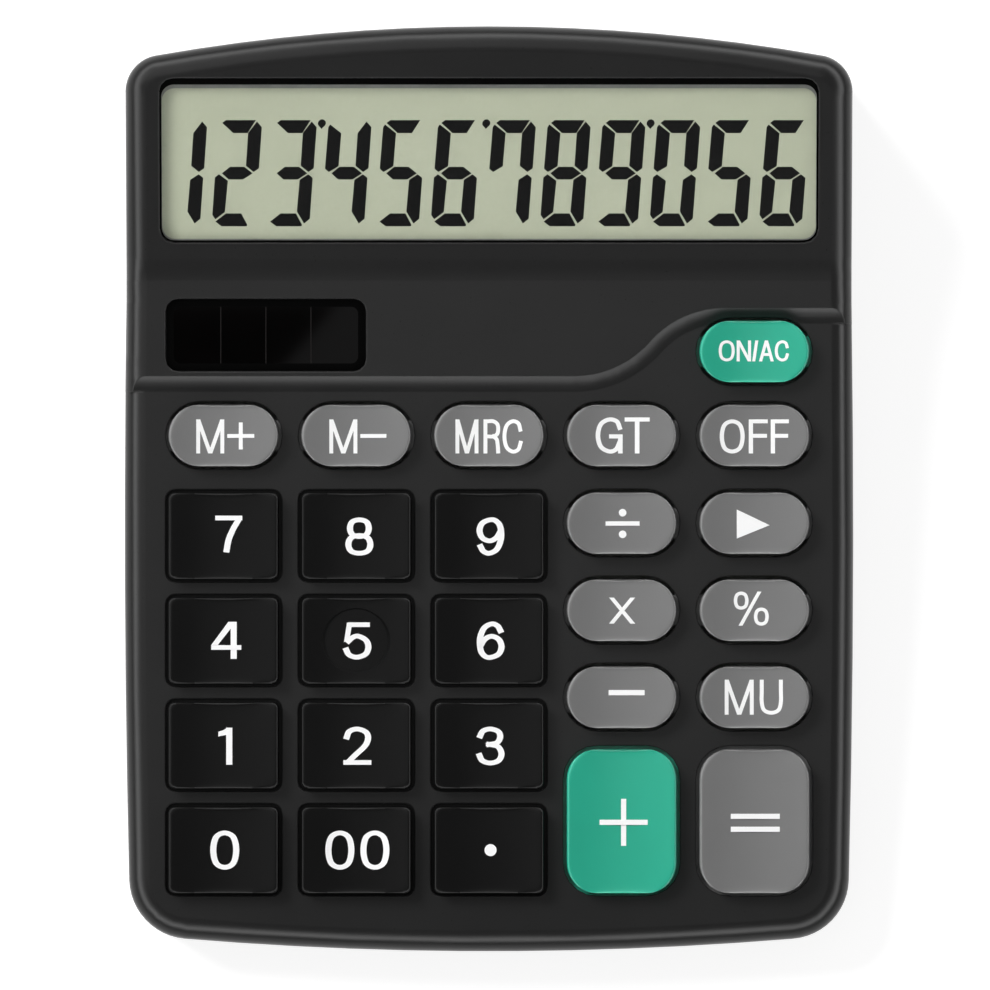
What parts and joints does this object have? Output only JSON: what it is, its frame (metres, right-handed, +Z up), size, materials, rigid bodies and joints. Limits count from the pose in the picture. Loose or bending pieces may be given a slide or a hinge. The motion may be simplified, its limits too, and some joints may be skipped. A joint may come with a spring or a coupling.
{
  "type": "desk calculator",
  "caption": "Desk calculator with a sloping keypad of sprung keys, a tilted display head behind a clear window, a solar strip and a sliding battery door underneath.",
  "frame": {"origin": "table plane under the feet, below the middle of the calculator's bounding box", "axes": "+X to the right of the person using it, +Y away from them towards the display, +Z up"},
  "size_m": [0.12, 0.154, 0.0405],
  "materials": {
    "case_plastic": "fine moulded satin",
    "black_key_plastic": "satin",
    "grey_key_plastic": "satin",
    "green_key_plastic": "satin",
    "clear_acrylic": "clear, polished",
    "display_glass": "smooth, grey-green",
    "reflector_foil": "satin foil",
    "white_plastic": "satin",
    "ribbon_film": "smooth film",
    "solar_glass": "smooth, dark brown to black",
    "board_laminate": "smooth laminate",
    "chip_epoxy": "matt",
    "silicone": "matt",
    "carbon_rubber": "matt",
    "screw_steel": "zinc plated",
    "contact_steel": "nickel plated",
    "cell_sleeve": "plain printed sleeve",
    "lead_insulation": "smooth insulation",
    "foot_rubber": "matt"
  },
  "bodies": {
    "case": {"upper_case": "case_plastic", "lower_case": "case_plastic", "display_window": "clear_acrylic", "solar_window": "clear_acrylic", "lcd_panel": "display_glass", "lcd_reflector": "reflector_foil", "lcd_holder": "white_plastic", "lcd_ribbon": "ribbon_film", "solar_cell": "solar_glass", "circuit_board": "board_laminate", "controller_chip": "chip_epoxy", "key_mat": "silicone", "contact_pills": "carbon_rubber", "case_screws": "screw_steel", "board_screws": "screw_steel", "holder_screws": "screw_steel", "battery_plus_contact": "contact_steel", "battery_minus_contact": "contact_steel", "battery_cell": "cell_sleeve", "battery_leads": "lead_insulation", "solar_leads": "lead_insulation", "feet": "foot_rubber"},
    "key_0": {"key_0": "black_key_plastic"},
    "key_00": {"key_00": "black_key_plastic"},
    "key_point": {"key_point": "black_key_plastic"},
    "key_1": {"key_1": "black_key_plastic"},
    "key_2": {"key_2": "black_key_plastic"},
    "key_3": {"key_3": "black_key_plastic"},
    "key_4": {"key_4": "black_key_plastic"},
    "key_5": {"key_5": "black_key_plastic"},
    "key_6": {"key_6": "black_key_plastic"},
    "key_7": {"key_7": "black_key_plastic"},
    "key_8": {"key_8": "black_key_plastic"},
    "key_9": {"key_9": "black_key_plastic"},
    "key_minus": {"key_minus": "grey_key_plastic"},
    "key_times": {"key_times": "grey_key_plastic"},
    "key_divide": {"key_divide": "grey_key_plastic"},
    "key_mark_up": {"key_mark_up": "grey_key_plastic"},
    "key_percent": {"key_percent": "grey_key_plastic"},
    "key_backspace": {"key_backspace": "grey_key_plastic"},
    "key_m_plus": {"key_m_plus": "grey_key_plastic"},
    "key_m_minus": {"key_m_minus": "grey_key_plastic"},
    "key_memory_recall": {"key_memory_recall": "grey_key_plastic"},
    "key_grand_total": {"key_grand_total": "grey_key_plastic"},
    "key_off": {"key_off": "grey_key_plastic"},
    "key_equals": {"key_equals": "grey_key_plastic"},
    "key_on_clear": {"key_on_clear": "green_key_plastic"},
    "key_plus": {"key_plus": "green_key_plastic"},
    "battery_door": {"battery_door": "case_plastic"}
  },
  "joints": [
    {"name": "press_key_0", "type": "slide", "parent": "case", "child": "key_0", "axis": [0, 0.1219, -0.9925], "range_m": [0, 0.0015], "stiffness_N_per_m": 350, "springref_m": -0.0006, "deforming": ["key_mat"]},
    {"name": "press_key_00", "type": "slide", "parent": "case", "child": "key_00", "axis": [0, 0.1219, -0.9925], "range_m": [0, 0.0015], "stiffness_N_per_m": 350, "springref_m": -0.0006, "deforming": ["key_mat"]},
    {"name": "press_key_point", "type": "slide", "parent": "case", "child": "key_point", "axis": [0, 0.1219, -0.9925], "range_m": [0, 0.0015], "stiffness_N_per_m": 350, "springref_m": -0.0006, "deforming": ["key_mat"]},
    {"name": "press_key_1", "type": "slide", "parent": "case", "child": "key_1", "axis": [0, 0.1219, -0.9925], "range_m": [0, 0.0015], "stiffness_N_per_m": 350, "springref_m": -0.0006, "deforming": ["key_mat"]},
    {"name": "press_key_2", "type": "slide", "parent": "case", "child": "key_2", "axis": [0, 0.1219, -0.9925], "range_m": [0, 0.0015], "stiffness_N_per_m": 350, "springref_m": -0.0006, "deforming": ["key_mat"]},
    {"name": "press_key_3", "type": "slide", "parent": "case", "child": "key_3", "axis": [0, 0.1219, -0.9925], "range_m": [0, 0.0015], "stiffness_N_per_m": 350, "springref_m": -0.0006, "deforming": ["key_mat"]},
    {"name": "press_key_4", "type": "slide", "parent": "case", "child": "key_4", "axis": [0, 0.1219, -0.9925], "range_m": [0, 0.0015], "stiffness_N_per_m": 350, "springref_m": -0.0006, "deforming": ["key_mat"]},
    {"name": "press_key_5", "type": "slide", "parent": "case", "child": "key_5", "axis": [0, 0.1219, -0.9925], "range_m": [0, 0.0015], "stiffness_N_per_m": 350, "springref_m": -0.0006, "deforming": ["key_mat"]},
    {"name": "press_key_6", "type": "slide", "parent": "case", "child": "key_6", "axis": [0, 0.1219, -0.9925], "range_m": [0, 0.0015], "stiffness_N_per_m": 350, "springref_m": -0.0006, "deforming": ["key_mat"]},
    {"name": "press_key_7", "type": "slide", "parent": "case", "child": "key_7", "axis": [0, 0.1219, -0.9925], "range_m": [0, 0.0015], "stiffness_N_per_m": 350, "springref_m": -0.0006, "deforming": ["key_mat"]},
    {"name": "press_key_8", "type": "slide", "parent": "case", "child": "key_8", "axis": [0, 0.1219, -0.9925], "range_m": [0, 0.0015], "stiffness_N_per_m": 350, "springref_m": -0.0006, "deforming": ["key_mat"]},
    {"name": "press_key_9", "type": "slide", "parent": "case", "child": "key_9", "axis": [0, 0.1219, -0.9925], "range_m": [0, 0.0015], "stiffness_N_per_m": 350, "springref_m": -0.0006, "deforming": ["key_mat"]},
    {"name": "press_key_minus", "type": "slide", "parent": "case", "child": "key_minus", "axis": [0, 0.1219, -0.9925], "range_m": [0, 0.0015], "stiffness_N_per_m": 350, "springref_m": -0.0006, "deforming": ["key_mat"]},
    {"name": "press_key_times", "type": "slide", "parent": "case", "child": "key_times", "axis": [0, 0.1219, -0.9925], "range_m": [0, 0.0015], "stiffness_N_per_m": 350, "springref_m": -0.0006, "deforming": ["key_mat"]},
    {"name": "press_key_divide", "type": "slide", "parent": "case", "child": "key_divide", "axis": [0, 0.1219, -0.9925], "range_m": [0, 0.0015], "stiffness_N_per_m": 350, "springref_m": -0.0006, "deforming": ["key_mat"]},
    {"name": "press_key_mark_up", "type": "slide", "parent": "case", "child": "key_mark_up", "axis": [0, 0.1219, -0.9925], "range_m": [0, 0.0015], "stiffness_N_per_m": 350, "springref_m": -0.0006, "deforming": ["key_mat"]},
    {"name": "press_key_percent", "type": "slide", "parent": "case", "child": "key_percent", "axis": [0, 0.1219, -0.9925], "range_m": [0, 0.0015], "stiffness_N_per_m": 350, "springref_m": -0.0006, "deforming": ["key_mat"]},
    {"name": "press_key_backspace", "type": "slide", "parent": "case", "child": "key_backspace", "axis": [0, 0.1219, -0.9925], "range_m": [0, 0.0015], "stiffness_N_per_m": 350, "springref_m": -0.0006, "deforming": ["key_mat"]},
    {"name": "press_key_m_plus", "type": "slide", "parent": "case", "child": "key_m_plus", "axis": [0, 0.1219, -0.9925], "range_m": [0, 0.0015], "stiffness_N_per_m": 350, "springref_m": -0.0006, "deforming": ["key_mat"]},
    {"name": "press_key_m_minus", "type": "slide", "parent": "case", "child": "key_m_minus", "axis": [0, 0.1219, -0.9925], "range_m": [0, 0.0015], "stiffness_N_per_m": 350, "springref_m": -0.0006, "deforming": ["key_mat"]},
    {"name": "press_key_memory_recall", "type": "slide", "parent": "case", "child": "key_memory_recall", "axis": [0, 0.1219, -0.9925], "range_m": [0, 0.0015], "stiffness_N_per_m": 350, "springref_m": -0.0006, "deforming": ["key_mat"]},
    {"name": "press_key_grand_total", "type": "slide", "parent": "case", "child": "key_grand_total", "axis": [0, 0.1219, -0.9925], "range_m": [0, 0.0015], "stiffness_N_per_m": 350, "springref_m": -0.0006, "deforming": ["key_mat"]},
    {"name": "press_key_off", "type": "slide", "parent": "case", "child": "key_off", "axis": [0, 0.1219, -0.9925], "range_m": [0, 0.0015], "stiffness_N_per_m": 350, "springref_m": -0.0006, "deforming": ["key_mat"]},
    {"name": "press_key_equals", "type": "slide", "parent": "case", "child": "key_equals", "axis": [0, 0.1219, -0.9925], "range_m": [0, 0.0015], "stiffness_N_per_m": 350, "springref_m": -0.0006, "deforming": ["key_mat"]},
    {"name": "press_key_on_clear", "type": "slide", "parent": "case", "child": "key_on_clear", "axis": [0, 0.1219, -0.9925], "range_m": [0, 0.0015], "stiffness_N_per_m": 350, "springref_m": -0.0006, "deforming": ["key_mat"]},
    {"name": "press_key_plus", "type": "slide", "parent": "case", "child": "key_plus", "axis": [0, 0.1219, -0.9925], "range_m": [0, 0.0015], "stiffness_N_per_m": 350, "springref_m": -0.0006, "deforming": ["key_mat"]},
    {"name": "slide_battery_door", "type": "slide", "parent": "case", "child": "battery_door", "axis": [0, 1, 0], "range_m": [0, 0.02]}
  ]
}
